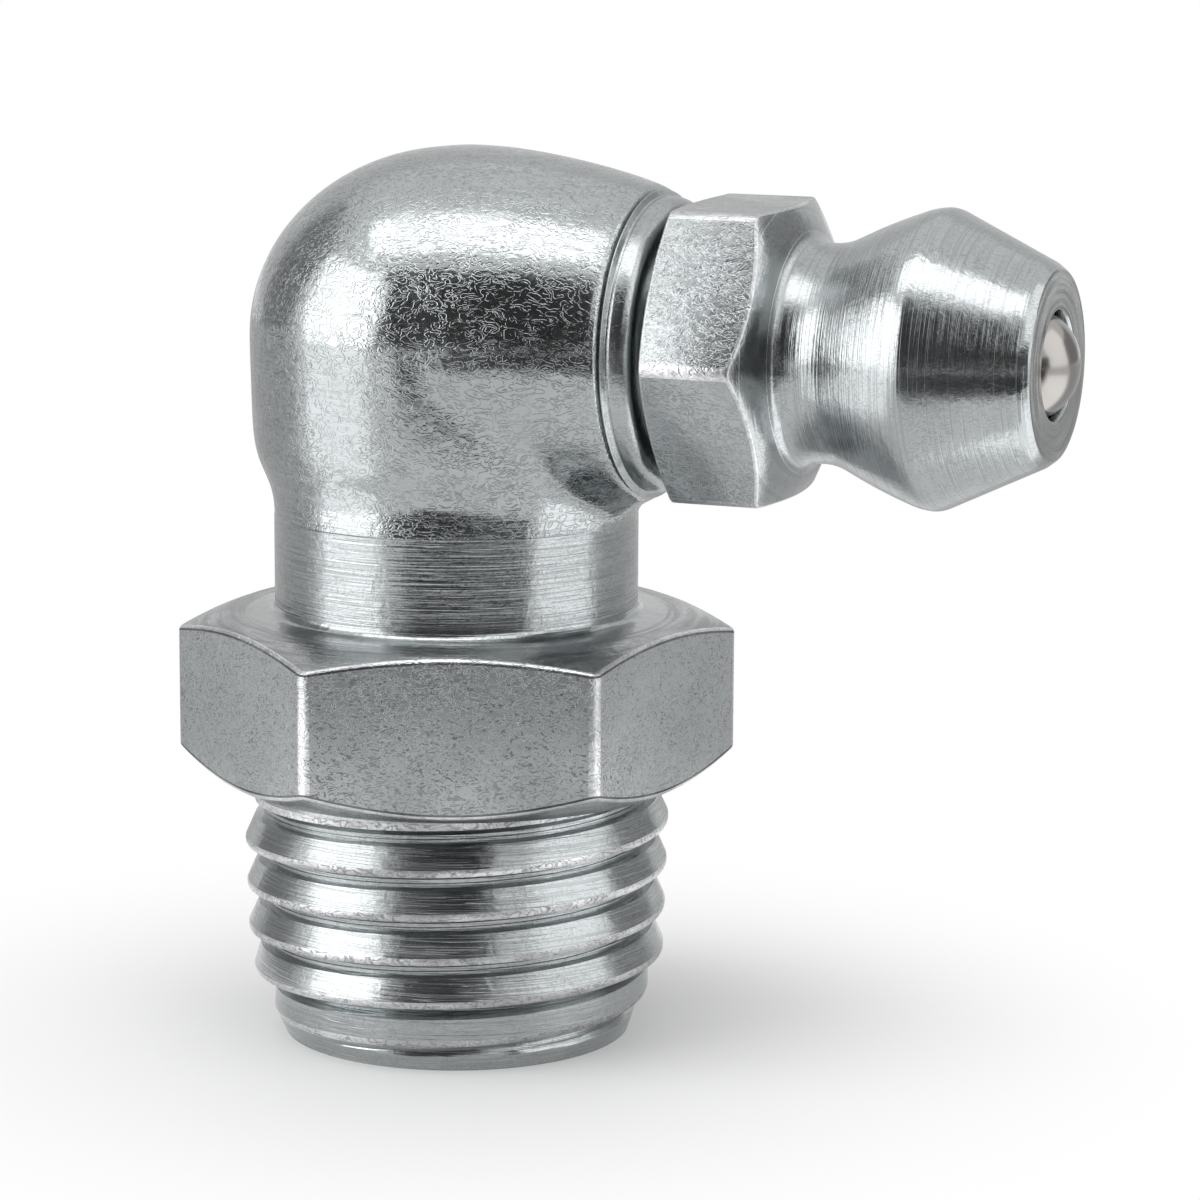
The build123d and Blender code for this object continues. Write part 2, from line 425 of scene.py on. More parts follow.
class Finishes:
    """Every finish of the fitting, made once and handed out by name."""

    FORGED = ZincFinish(
        "forged_zinc", roughness=0.13, roughness_spread=0.06, waves=0.03, dents=0.011, worms=0.0034,
        dent_scale=3.0, worm_scale=5.5, rings=0.014, ring_density=15.0, turned_zone=(11.9, 12.9),
        pit_tone=0.5,
    )
    FLAT = ZincFinish(
        "hexagon_flat_zinc", bright=(0.47, 0.49, 0.5), dull=(0.39, 0.41, 0.42), roughness=0.38,
        roughness_spread=0.1, dents=0.012, worms=0.006, dent_scale=3.5, worm_scale=7.0, pit_tone=0.85,
    )
    INSERT_FLAT = ZincFinish(
        "insert_flat_zinc", roughness=0.17, roughness_spread=0.08, dents=0.008, worms=0.0028,
        dent_scale=3.5, worm_scale=7.0, pit_tone=0.5,
    )
    EDGE = ZincFinish(
        "worn_edge_zinc", bright=(0.76, 0.77, 0.78), dull=(0.45, 0.46, 0.47), roughness=0.3,
        dents=0.014, worms=0.006, dent_scale=5.0, worm_scale=4.0,
    )
    # Painted shade: a dark colour for the strip under a hexagon's rim, standing for the shadow under the
    # rim's lip.
    PAINTED_SHADE = ZincFinish(
        "painted_rim_shade_zinc", bright=(0.2, 0.205, 0.21), dull=(0.06, 0.06, 0.065), roughness=0.4,
        dents=0.02, worms=0.01, dent_scale=6.0, worm_scale=3.0,
    )
    CREST = ZincFinish(
        "thread_crest_zinc", bright=(0.8, 0.81, 0.82), dull=(0.45, 0.45, 0.46), roughness=0.38,
        dents=0.025, worms=0.01, dent_scale=6.0, worm_scale=4.5, pit_tone=0.7,
    )
    TURNED_SHANK = ZincFinish(
        "turned_shank_zinc", roughness=0.13, roughness_spread=0.08, dents=0.01, worms=0.0008,
        dent_scale=3.0, rings=0.024, ring_density=16.0,
    )
    TURNED_CHAMFER = ZincFinish(
        "turned_chamfer_zinc", bright=(0.5, 0.52, 0.53), dull=(0.24, 0.25, 0.255), roughness=0.19,
        dents=0.014, worms=0.002, rings=0.022, ring_density=9.0, ring_breaks=0.4, line_tone=0.9, facing=1.0,
    )
    TURNED_FACE = ZincFinish(
        "turned_face_zinc", bright=(0.56, 0.58, 0.58), dull=(0.22, 0.23, 0.23), roughness=0.22,
        dents=0.004, rings=0.02, ring_density=7.0, ring_breaks=0.5, line_tone=0.9, facing=1.0,
        turning=Turning.HEAD,
    )
    THREAD = ZincFinish(
        "thread_zinc", roughness=0.16, dents=0.008, rings=0.018, ring_density=20.0,
    )
    TURNED_HEAD = ZincFinish(
        "turned_head_zinc", roughness=0.14, dents=0.008, dent_scale=3.0, worms=0.0006, rings=0.012,
        ring_density=16.0, facing=0.7, turning=Turning.HEAD,
    )
    ROLLED_LIP = ZincFinish("rolled_lip_zinc", roughness=0.18, waves=0.02, dents=0.01, worms=0.001)

    def __init__(self, axis_height: float) -> None:
        """Make the shared effects and keep the head's height.

        Args:
            axis_height: Height of the head's axis, in millimetres.
        """
        self.effects = Effects()
        self.axis_height = axis_height
        self._made: dict[str, bpy.types.Material] = {}

    def zinc(self, finish: ZincFinish) -> bpy.types.Material:
        """Return the material of a zinc finish."""
        if finish.name not in self._made:
            self._made[finish.name] = finish.build(self.effects, self.axis_height)
        return self._made[finish.name]

    def steel(self, name: str, colour: tuple[float, float, float], roughness: float) -> bpy.types.Material:
        """Return a bare steel with faint scratches.

        Args:
            name: The material's name.
            colour: Its linear colour.
            roughness: Its roughness where it is clean.
        """
        if name in self._made:
            return self._made[name]
        material = bpy.data.materials.new(name)
        material.use_nodes = True
        sheet = Sheet(material.node_tree)
        shader = material.node_tree.nodes["Principled BSDF"]
        shader.inputs["Metallic"].default_value = 1.0
        coordinates = sheet.add("ShaderNodeTexCoord").outputs["Object"]
        millimetres = sheet.scale(coordinates, (TO_MM, TO_MM, TO_MM))
        smear = sheet.noise(millimetres, 1.4, 3.0, 0.4)
        scratches = sheet.noise(sheet.scale(millimetres, (9.0, 1.2, 1.2)), 1.0, 2.0)
        darker = tuple(0.8 * part for part in colour)
        sheet.feed(shader.inputs["Base Color"], sheet.mix(smear, (*colour, 1.0), (*darker, 1.0)))
        sheet.feed(shader.inputs["Roughness"], sheet.math("MULTIPLY_ADD", smear, 0.08, roughness))
        bump = sheet.add("ShaderNodeBump", {"Height": scratches, "Strength": 0.6, "Distance": 0.001 * MM})
        sheet.feed(shader.inputs["Normal"], bump.outputs["Normal"])
        self._made[name] = material
        return material


# Meshes


def turned(corners: Sequence[Corner], closed: bool = True, steps: int = ROUND_STEPS) -> bmesh.types.BMesh:
    """Turn a profile about Z, in millimetres.

    Args:
        corners: The profile's corners in order.
        closed: Whether the last corner joins the first.
        steps: How many steps one turn has.

    Returns:
        The turned surface, with its faces outwards.
    """
    bm = bmesh.new()
    verts = [bm.verts.new((corner.radius, 0.0, corner.along)) for corner in corners]
    ends = verts[1:] + verts[:1] if closed else verts[1:]
    for first, second in zip(verts, ends):
        bm.edges.new((first, second))
    for vert, corner in zip(verts, corners):
        if corner.rounding:
            bmesh.ops.bevel(
                bm, geom=[vert], offset=corner.rounding, offset_type="OFFSET", segments=6,
                profile=0.5, affect="VERTICES", material=-1,
            )
    bmesh.ops.spin(
        bm, geom=bm.verts[:] + bm.edges[:], cent=(0, 0, 0), axis=(0, 0, 1), dvec=(0, 0, 0),
        angle=2 * math.pi, steps=steps, use_merge=True, use_normal_flip=False, use_duplicate=False,
    )
    bmesh.ops.remove_doubles(bm, verts=bm.verts, dist=1e-5)
    bmesh.ops.recalc_face_normals(bm, faces=bm.faces)
    return bm


def reach_of(place: Vector) -> float:
    """Return a point's distance from the Z axis."""
    return math.hypot(place.x, place.y)


def set_reach(vert: bmesh.types.BMVert, radius: float) -> None:
    """Move a vertex straight in or out to a distance from the Z axis."""
    reach = reach_of(vert.co)
    vert.co.x *= radius / reach
    vert.co.y *= radius / reach


def new_verts(geometry: Iterable[object]) -> list[bmesh.types.BMVert]:
    """Return the vertices among the geometry that an operator made."""
    return [item for item in geometry if isinstance(item, bmesh.types.BMVert)]


def copy_of_node(node: str, merge: float) -> bmesh.types.BMesh:
    """Copy a solid's mesh, in millimetres, and merge its doubles.

    Args:
        node: The solid's node.
        merge: How far apart two vertices may lie and still be one.

    Returns:
        The copy.
    """
    bm = bmesh.new()
    bm.from_mesh(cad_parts[node].data)
    bmesh.ops.scale(bm, vec=(TO_MM, TO_MM, TO_MM), verts=bm.verts)
    bmesh.ops.remove_doubles(bm, verts=bm.verts, dist=merge)
    return bm


def onto_head(bm: bmesh.types.BMesh, axis_height: float) -> None:
    """Lay a mesh that runs along Z onto the head's axis, along X."""
    turn = Matrix.Rotation(math.pi / 2, 4, "Y")
    bmesh.ops.transform(bm, matrix=Matrix.Translation((0, 0, axis_height)) @ turn, verts=bm.verts)


def finished(
    bm: bmesh.types.BMesh, name: str, materials: Sequence[bpy.types.Material], sharp: float = 35.0
) -> bpy.types.Object:
    """Turn a mesh in millimetres into an object of the scene, in metres.

    Args:
        bm: The mesh, which is freed.
        name: The object's name.
        materials: Its materials, in the order of its faces' indices.
        sharp: Angle in degrees past which an edge stays sharp.

    Returns:
        The new object, at the origin.
    """
    bmesh.ops.scale(bm, vec=(MM, MM, MM), verts=bm.verts)
    mesh = bpy.data.meshes.new(name)
    bm.to_mesh(mesh)
    bm.free()
    for material in materials:
        mesh.materials.append(material)
    mesh.shade_smooth()
    mesh.set_sharp_from_angle(angle=math.radians(sharp))
    piece = bpy.data.objects.new(name, mesh)
    bpy.context.scene.collection.objects.link(piece)
    return piece


@dataclass
class HexagonBar:
    """A hexagon bar whose ends are turned off to a circle, in millimetres.

    Args:
        across_flats: Its size over the flats.
        length: Its length.
        edge_radius: Radius of its long edges.
        low_face, high_face: Diameters of the flat faces at its two ends.
        low_angle, high_angle: Slopes of the turned-off corners, in degrees.
        inner_diameter: Diameter where the end faces stop, under the neighbouring turned surface.
        rim_band: Width of the band along its rims, worn bright, with a strip next to the flats that can
            carry painted shade.
        edge_steps: How many steps a flat has.
        shade_strip_slope: Steepest slope of the part of that band that is painted dark as shade under the
            rim, against the flats.
    """

    across_flats: float
    length: float
    edge_radius: float
    low_face: float
    low_angle: float
    high_face: float
    high_angle: float
    inner_diameter: float
    rim_band: float = 0.09
    edge_steps: int = 40
    shade_strip_slope: float = 0.3

    def build(self, turn: float) -> bmesh.types.BMesh:
        """Make the bar along Z from 0, with its faces marked as HexagonFace says.

        Args:
            turn: Angle in degrees of the middle of one flat from X.

        Returns:
            The bar, closed but for the holes in its end faces.
        """
        bm = bmesh.new()
        bmesh.ops.create_circle(bm, cap_ends=False, radius=self.across_flats / math.sqrt(3), segments=6)
        angle = math.atan2(bm.verts[:][0].co.y, bm.verts[:][0].co.x)
        spin = math.radians(turn + 30) - angle
        bmesh.ops.rotate(bm, cent=(0, 0, 0), matrix=Matrix.Rotation(spin, 3, "Z"), verts=bm.verts)
        walls = bmesh.ops.extrude_edge_only(bm, edges=bm.edges)
        bmesh.ops.translate(bm, vec=(0, 0, self.length), verts=new_verts(walls["geom"]))
        drops = {edge: abs(edge.verts[0].co.z - edge.verts[1].co.z) for edge in bm.edges}
        upright = [edge for edge, drop in drops.items() if drop > self.length / 2]
        bmesh.ops.bevel(
            bm, geom=upright, offset=self.edge_radius * math.tan(math.radians(30)), offset_type="OFFSET",
            segments=6, profile=0.5, affect="EDGES", material=HexagonFace.EDGE,
        )
        wide = [edge for edge in bm.edges if edge.calc_length() > self.across_flats / 3]
        wide = [edge for edge in wide if abs(edge.verts[0].co.z - edge.verts[1].co.z) < self.length / 2]
        bmesh.ops.subdivide_edges(bm, edges=wide, cuts=self.edge_steps, use_grid_fill=True)
        for vert in bm.verts:
            reach = reach_of(vert.co)
            if vert.co.z < self.length / 2:
                vert.co.z += (reach - self.low_face / 2) * math.tan(math.radians(self.low_angle))
            else:
                vert.co.z -= (reach - self.high_face / 2) * math.tan(math.radians(self.high_angle))
        rims = [edge for edge in bm.edges if edge.is_boundary]
        low = [edge for edge in rims if edge.verts[0].co.z < self.length / 2]
        high = [edge for edge in rims if edge.verts[0].co.z > self.length / 2]
        self._turn_off(bm, low, 0.0, self.low_face)
        self._turn_off(bm, high, self.length, self.high_face)
        bmesh.ops.recalc_face_normals(bm, faces=bm.faces)
        rim_bevel = bmesh.ops.bevel(
            bm, geom=rims, offset=self.rim_band, offset_type="OFFSET", segments=3, profile=0.5,
            affect="EDGES", material=HexagonFace.EDGE, clamp_overlap=True,
        )
        # Faces of the band that stand nearly upright get the dark strip: painted shade, for the shadow under
        # the rim's lip.
        for side in rim_bevel["faces"]:
            if abs(side.normal.z) < self.shade_strip_slope:
                side.material_index = HexagonFace.PAINTED_SHADE
        return bm

    def _turn_off(
        self, bm: bmesh.types.BMesh, rim: list[bmesh.types.BMEdge], height: float, face: float
    ) -> None:
        """Close one end: a cone from its rim to a circle, then the flat face inwards."""
        edges = rim
        for radius in (face / 2, self.inner_diameter / 2):
            grown = bmesh.ops.extrude_edge_only(bm, edges=edges)["geom"]
            for vert in new_verts(grown):
                set_reach(vert, radius)
                vert.co.z = height
            for side in (item for item in grown if isinstance(item, bmesh.types.BMFace)):
                side.material_index = HexagonFace.END
            edges = [item for item in grown if isinstance(item, bmesh.types.BMEdge)]


@dataclass
class ThreadForm:
    """The shank's right-hand taper thread, in millimetres.

    Args:
        pitch: Its pitch.
        depth: Depth of a groove.
        crest: Width of a crest's flat.
        under_flank, upper_flank: Lengths along the axis of the flanks that face down and up.
        crest_radius: Crest radius at top_height.
        taper: Change of diameter per length.
        top_height: Height where the thread meets its run-out.
        first_crest: Height of a crest on the -Y side.
        root_rise: How far the root's lower side rises steeply before the upper flank begins.
        root_step: Height of the small step that the tool left in the root.
        step_run: Length along the axis of that step.
        root_run: Length along the axis of the root's steep lower side.
        crest_round: Depth of the crest's rounded edge.
        crest_skin: Depth from the crests of the skin that is worn bright.
    """

    pitch: float = 1.0
    depth: float = 0.47
    crest: float = 0.16
    under_flank: float = 0.14
    upper_flank: float = 0.48
    root_rise: float = 0.22
    crest_radius: float = 4.85
    taper: float = 1 / 16
    top_height: float = 5.35
    first_crest: float = 4.61
    root_step: float = 0.035
    step_run: float = 0.012
    root_run: float = 0.04
    crest_round: float = 0.02
    crest_skin: float = 0.05

    def profile(self) -> list[tuple[float, float]]:
        """Return one pitch as (height, depth below the crests), from a crest's middle to the next below."""
        half = self.crest / 2
        root_top = half + self.under_flank
        root_end = self.pitch - half - self.upper_flank - self.root_run
        middle = (root_top + root_end) / 2
        shoulder = half * 0.6
        shoulder_depth = self.crest_round / 5
        return [
            (0.0, 0.0),
            (-shoulder, shoulder_depth),
            (-half, self.crest_round),
            (-root_top + 0.02, self.depth - 0.03),
            (-root_top - 0.01, self.depth),
            (-middle, self.depth),
            (-middle - self.step_run, self.depth - self.root_step),
            (-root_end, self.depth - self.root_step),
            (-root_end - self.root_run, self.depth - self.root_rise),
            (-self.pitch + half, self.crest_round),
            (-self.pitch + shoulder, shoulder_depth),
            (-self.pitch, 0.0),
        ]

    def build(self) -> bmesh.types.BMesh:
        """Wind one turn of the profile, then repeat it up the shank, a turn past each end."""
        bm = bmesh.new()
        turns = math.ceil(self.top_height / self.pitch) + 3
        start = self.first_crest - math.ceil(self.first_crest / self.pitch) * self.pitch - self.pitch
        verts = [
            bm.verts.new((0.0, depth - self.crest_radius, start + along)) for along, depth in self.profile()
        ]
        for first, second in zip(verts, verts[1:]):
            bm.edges.new((first, second))
        bmesh.ops.spin(
            bm, geom=bm.verts[:] + bm.edges[:], cent=(0, 0, 0), axis=(0, 0, 1),
            dvec=(0, 0, self.pitch / ROUND_STEPS), angle=2 * math.pi, steps=ROUND_STEPS,
            use_merge=False, use_normal_flip=False, use_duplicate=False,
        )
        first_turn = bm.verts[:] + bm.edges[:] + bm.faces[:]
        for turn in range(1, turns):
            copy = bmesh.ops.duplicate(bm, geom=first_turn)["geom"]
            bmesh.ops.translate(bm, vec=(0, 0, turn * self.pitch), verts=new_verts(copy))
        bmesh.ops.remove_doubles(bm, verts=bm.verts, dist=1e-4)
        for side in bm.faces:
            if reach_of(side.calc_center_median()) > self.crest_radius - self.crest_skin:
                side.material_index = ThreadFace.CREST
        return bm


@dataclass
class ElbowBody:
    """The forged elbow with its neck, hexagon, threaded shank and mouth, in millimetres.

    Args:
        finishes: The scene's finishes.
        axis_height: Height of the head's axis.
        shank_length: Length of the shank, up to the hexagon.
        lead_in_radius, lead_in_height: The shank's end radius, and where its lead-in reaches the crests.
        lead_in_drop: How far under the top crest radius the lead-in ends.
        groove_start, groove_fade: Height where the groove starts in the lead-in, and where it is full.
        inlet_radius, inlet_countersink: The inlet drilling and its countersink.
        hexagon, hexagon_turn: The spanner hexagon, and its turn in degrees from the head's direction.
        neck_radius, neck_height, neck_foot: The turned neck, and how far its foot stands out.
        run_out_radius, run_out_depth: Radius of the thread's run-out, and its deepest groove.
        mouth_x, barrel_end_x: Where the mouth and the barrel end along X.
        socket_radius, socket_depth: The socket of the head's stem.
        skin_overlap: How far the forged skin runs down inside the turned neck.
        clear: Spare radius with which a face of the solid is known to belong to a drilling.
        voxel, flow_steps, flow_factor: Grid of the skin's remeshing, and its smoothing.
        draw, draw_ease, waist: How much the leg is drawn in, how softly that starts, and how far down the
            leg it begins to fade, as shares.
        thread: The thread.
    """

    finishes: Finishes
    axis_height: float = HEAD_HEIGHT
    shank_length: float = 5.9
    lead_in_radius: float = 3.95
    lead_in_height: float = 1.7
    lead_in_drop: float = 0.11
    groove_start: float = 0.35
    groove_fade: float = 0.45
    inlet_radius: float = 1.6
    inlet_countersink: float = 0.25
    hexagon: HexagonBar = field(
        default_factory=lambda: HexagonBar(11.0, 3.75, 0.3, 10.4, 28, 10.4, 20, 8.0)
    )
    hexagon_turn: float = -7.0
    neck_radius: float = 4.1
    neck_height: float = 2.2
    neck_foot: float = 0.35
    run_out_radius: float = 4.6
    run_out_depth: float = 0.3
    mouth_x: float = 5.5
    barrel_end_x: float = 4.88
    socket_radius: float = 2.5
    socket_depth: float = 3.3
    skin_overlap: float = 0.9
    clear: float = 0.05
    voxel: float = 0.075
    flow_steps: int = 36
    flow_factor: float = 0.5
    draw: float = 0.12
    draw_ease: float = 0.1
    waist: float = 0.72
    thread: ThreadForm = field(default_factory=ThreadForm)

    def build(self) -> None:
        """Make, dress and mount every piece of the elbow."""
        skin = self._forged_skin()
        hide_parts("elbow_body")
        for piece in (skin, self._hexagon(), self._neck(), self._thread(), self._nose(), self._bores()):
            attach(piece, "fitting")
            log.info("%s: %d faces", piece.name, len(piece.data.polygons))

    @property
    def hexagon_top(self) -> float:
        """Height of the hexagon's upper face."""
        return self.shank_length + self.hexagon.length

    @property
    def neck_top(self) -> float:
        """Height where the neck meets the forged leg."""
        return self.hexagon_top + self.neck_height

    def _forged_skin(self) -> bpy.types.Object:
        """Make the elbow's forged skin from a merged copy of its solid, smoothed to a cast-like flow."""
        bm = copy_of_node("elbow_body", merge=1e-3)
        in_socket = self.socket_radius + self.clear
        in_inlet = self.inlet_radius + self.clear

        def hidden(face: bmesh.types.BMFace) -> bool:
            """Tell whether a face belongs to a drilling."""
            across = max(math.hypot(v.co.y, v.co.z - self.axis_height) for v in face.verts)
            around = max(reach_of(v.co) for v in face.verts)
            in_head = across < in_socket and min(v.co.x for v in face.verts) > -in_socket - 0.5
            in_shank = around < in_inlet and max(v.co.z for v in face.verts) < self.axis_height + in_inlet
            return in_head or in_shank

        bmesh.ops.delete(bm, geom=[face for face in bm.faces if hidden(face)], context="FACES")
        cuts = (
            (Vector((0, 0, self.neck_top - self.skin_overlap)), Vector((0, 0, -1))),
            (Vector((self.barrel_end_x - 0.02, 0, 0)), Vector((1, 0, 0))),
        )
        for place, normal in cuts:
            geometry = bm.verts[:] + bm.edges[:] + bm.faces[:]
            bmesh.ops.bisect_plane(bm, geom=geometry, plane_co=place, plane_no=normal, clear_outer=True)
        bmesh.ops.holes_fill(bm, edges=[edge for edge in bm.edges if edge.is_boundary])
        self._draw_in(bm)
        skin = finished(bm, "forged_skin", [self.finishes.zinc(Finishes.FORGED)], sharp=180)
        remesh = skin.modifiers.new("even_skin", "REMESH")
        remesh.mode = "VOXEL"
        remesh.voxel_size = self.voxel * MM
        remesh.use_smooth_shade = True
        flow = skin.modifiers.new("flow", "SMOOTH")
        flow.factor = self.flow_factor
        flow.iterations = self.flow_steps
        return skin

    def _draw_in(self, bm: bmesh.types.BMesh) -> None:
        """Narrow the leg's front and back below the barrel, so that the skin mirrors the near floor.

        This is a choice for the look alone. Nothing in the photograph shows a narrower leg.
        """
        leg = self.axis_height - self.neck_top
        for vert in bm.verts:
            drop = (self.axis_height - vert.co.z) / leg
            if 0.0 < drop < 1.0:
                bow = drop * drop / (drop + self.draw_ease)
                back = max(0.0, (drop - self.waist) / (1.0 - self.waist))
                bow *= 1.0 - back * back * (3.0 - 2.0 * back)
                vert.co.y *= 1.0 - self.draw * bow

    def _hexagon(self) -> bpy.types.Object:
        """Make the spanner hexagon."""
        bm = self.hexagon.build(self.hexagon_turn)
        bmesh.ops.translate(bm, vec=(0, 0, self.shank_length), verts=bm.verts)
        zinc = self.finishes.zinc
        shades = (Finishes.FLAT, Finishes.EDGE, Finishes.TURNED_CHAMFER, Finishes.PAINTED_SHADE)
        materials = [zinc(shade) for shade in shades]
        return finished(bm, "spanner_hexagon", materials)

    def _neck(self) -> bpy.types.Object:
        """Make the turned neck, with a small foot where it meets the hexagon."""
        corners = [
            Corner(self.hexagon_top - 0.02, self.neck_radius + 0.9),
            Corner(self.hexagon_top + 0.03, self.neck_radius + self.neck_foot, 0.03),
            Corner(self.hexagon_top + 0.06, self.neck_radius + 0.01, 0.18),
            Corner(self.neck_top + 0.05, self.neck_radius + 0.01),
            Corner(self.neck_top + 0.12, self.neck_radius - 0.12),
        ]
        bm = turned(corners, closed=False)
        return finished(bm, "turned_neck", [self.finishes.zinc(Finishes.TURNED_SHANK)])

    def _thread(self) -> bpy.types.Object:
        """Make the threaded shank: the taper thread, its run-out under the hexagon and its lead-in."""
        form = self.thread
        bm = form.build()
        lead_slope = (form.crest_radius - self.lead_in_drop - self.lead_in_radius) / self.lead_in_height
        for vert in bm.verts:
            reach = reach_of(vert.co)
            wanted = reach - max(0.0, form.top_height - vert.co.z) * form.taper / 2
            cone = self.lead_in_radius + max(0.0, vert.co.z) * lead_slope
            groove = max(0.0, form.crest_radius - reach)
            share = min(1.0, max(0.0, (vert.co.z - self.groove_start) / self.groove_fade))
            wanted = min(wanted, cone - groove * share)
            if vert.co.z > form.top_height - 0.05:
                wanted = min(wanted, self.run_out_radius)
                wanted = max(wanted, self.run_out_radius - self.run_out_depth)
            set_reach(vert, wanted)
        for height, normal in ((0.0, -1), (self.shank_length + 0.1, 1)):
            geometry = bm.verts[:] + bm.edges[:] + bm.faces[:]
            bmesh.ops.bisect_plane(
                bm, geom=geometry, plane_co=(0, 0, height), plane_no=(0, 0, normal), clear_outer=True
            )
        rim = [edge for edge in bm.edges if edge.is_boundary and max(v.co.z for v in edge.verts) < 0.01]
        grown = bmesh.ops.extrude_edge_only(bm, edges=rim)["geom"]
        inner = self.inlet_radius + self.inlet_countersink
        for vert in new_verts(grown):
            set_reach(vert, inner)
            vert.co.z = 0.0
        bmesh.ops.recalc_face_normals(bm, faces=bm.faces)
        zinc = self.finishes.zinc
        return finished(bm, "taper_thread", [zinc(Finishes.THREAD), zinc(Finishes.CREST)], sharp=28)

    def _nose(self) -> bpy.types.Object:
        """Make the stepped, rounded nose round the mouth."""
        corners = [
            Corner(self.barrel_end_x - 0.12, 3.0),
            Corner(self.barrel_end_x + 0.01, 3.42, 0.05),
            Corner(self.barrel_end_x + 0.1, 3.24, 0.04),
            Corner(self.barrel_end_x + 0.16, 3.26, 0.04),
            Corner(self.mouth_x - 0.05, 3.2, 0.26),
            Corner(self.mouth_x, 2.75, 0.05),
            Corner(self.mouth_x, self.socket_radius, 0.03),
            Corner(self.mouth_x - self.socket_depth, self.socket_radius),
        ]
        bm = turned(corners, closed=False)
        onto_head(bm, self.axis_height)
        return finished(bm, "mouth_nose", [self.finishes.zinc(Finishes.ROLLED_LIP)])

    def _bores(self) -> bpy.types.Object:
        """Make the wall of the inlet drilling, seen from below."""
        corners = [
            Corner(0.0, self.inlet_radius + self.inlet_countersink),
            Corner(self.inlet_countersink, self.inlet_radius),
            Corner(self.axis_height, self.inlet_radius),
            Corner(self.axis_height + 0.9, 0.0),
        ]
        bm = turned(corners, closed=False, steps=96)
        bmesh.ops.reverse_faces(bm, faces=bm.faces)
        return finished(bm, "inlet_bore", [self.finishes.zinc(Finishes.TURNED_SHANK)])


@dataclass
class CouplerHead:
    """The turned coupler head with its small hexagon, in millimetres along its axis.

    Args:
        finishes: The scene's finishes.
        axis_height: Height of the head's axis.
        stem_end, hex_back: Where the stem and the hexagon start.
        hexagon, hexagon_turn: The small hexagon, and its turn in degrees. The solid has 4 degrees; here it
            stands where the photograph's front edge does.
        stem_radius, groove_radius, land_radius: Radii of the stem, the grip groove and the land.
        groove_length: How far before the land the groove's floor starts to rise.
        shoulder_length, shoulder_radius: The bend in the rear cone, by its distance from the land.
        land_start, land_end: Where the land runs.
        cone_end, cone_end_radius: Where the front cone meets the tip's bevel.
        tip, face_radius: Place and radius of the end face.
        orifice_radius, chamber_radius, chamber_back, passage_radius: The bore, from the tip inwards.
        lip, seat_length: Thickness of the rolled lip, and length of the seat behind it.
    """

    finishes: Finishes
    axis_height: float = HEAD_HEIGHT
    stem_end: float = 2.5
    hex_back: float = 5.75
    hexagon: HexagonBar = field(
        default_factory=lambda: HexagonBar(6.35, 2.65, 0.28, 6.25, 15, 5.3, 28, 4.5, rim_band=0.05)
    )
    hexagon_turn: float = -2.0
    stem_radius: float = 2.48
    groove_radius: float = 2.38
    land_radius: float = 3.25
    groove_length: float = 2.05
    shoulder_length: float = 0.9
    shoulder_radius: float = 2.93
    land_start: float = 11.3
    land_end: float = 11.6
    cone_end: float = 13.8
    cone_end_radius: float = 2.2
    tip: float = 14.0
    face_radius: float = 2.04
    orifice_radius: float = 1.155
    chamber_radius: float = 1.35
    chamber_back: float = 7.9
    passage_radius: float = 0.85
    lip: float = 0.25
    seat_length: float = 0.5

    def build(self) -> None:
        """Make, dress and mount the head."""
        body = self._turned_body()
        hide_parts("coupler_head")
        for piece in (body, self._hexagon()):
            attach(piece, "fitting")
            log.info("%s: %d faces", piece.name, len(piece.data.polygons))

    def _turned_body(self) -> bpy.types.Object:
        """Turn the stem, the grip groove, the double cone, its face and its bore."""
        hex_face = self.hex_back + self.hexagon.length
        corners = [
            Corner(self.stem_end, self.passage_radius),
            Corner(self.stem_end, self.stem_radius - 0.3),
            Corner(self.stem_end + 0.3, self.stem_radius),
            Corner(self.hex_back + 0.3, self.stem_radius),
            Corner(hex_face - 0.2, self.hexagon.high_face / 2 - 0.02),
            Corner(hex_face, self.hexagon.high_face / 2, 0.02),
            Corner(hex_face + 0.12, self.groove_radius + 0.02, 0.22),
            Corner(self.land_start - self.groove_length, self.groove_radius, 0.3),
            Corner(self.land_start - self.shoulder_length, self.shoulder_radius, 0.5),
            Corner(self.land_start, self.land_radius, 0.2),
            Corner(self.land_end, self.land_radius, 0.12),
            Corner(self.cone_end, self.cone_end_radius, 0.06),
            Corner(self.tip, self.face_radius, 0.05),
            Corner(self.tip, self.orifice_radius + 0.05, 0.03),
            Corner(self.tip - 0.1, self.orifice_radius),
            Corner(self.tip - self.lip, self.orifice_radius),
            Corner(self.tip - self.lip - self.seat_length, self.chamber_radius),
            Corner(self.chamber_back, self.chamber_radius),
            Corner(self.chamber_back, self.passage_radius),
        ]
        bm = turned(corners)
        for side in bm.faces:
            if side.calc_center_median().z > self.tip - 0.01:
                side.material_index = HeadFace.TIP
        onto_head(bm, self.axis_height)
        zinc = self.finishes.zinc
        return finished(bm, "coupler_cone", [zinc(Finishes.TURNED_HEAD), zinc(Finishes.TURNED_FACE)])

    def _hexagon(self) -> bpy.types.Object:
        """Make the small hexagon behind the grip groove."""
        bm = self.hexagon.build(180 - self.hexagon_turn)
        bmesh.ops.translate(bm, vec=(0, 0, self.hex_back), verts=bm.verts)
        onto_head(bm, self.axis_height)
        zinc = self.finishes.zinc
        shades = (Finishes.INSERT_FLAT, Finishes.EDGE, Finishes.TURNED_HEAD, Finishes.EDGE)
        materials = [zinc(shade) for shade in shades]
        return finished(bm, "head_hexagon", materials)


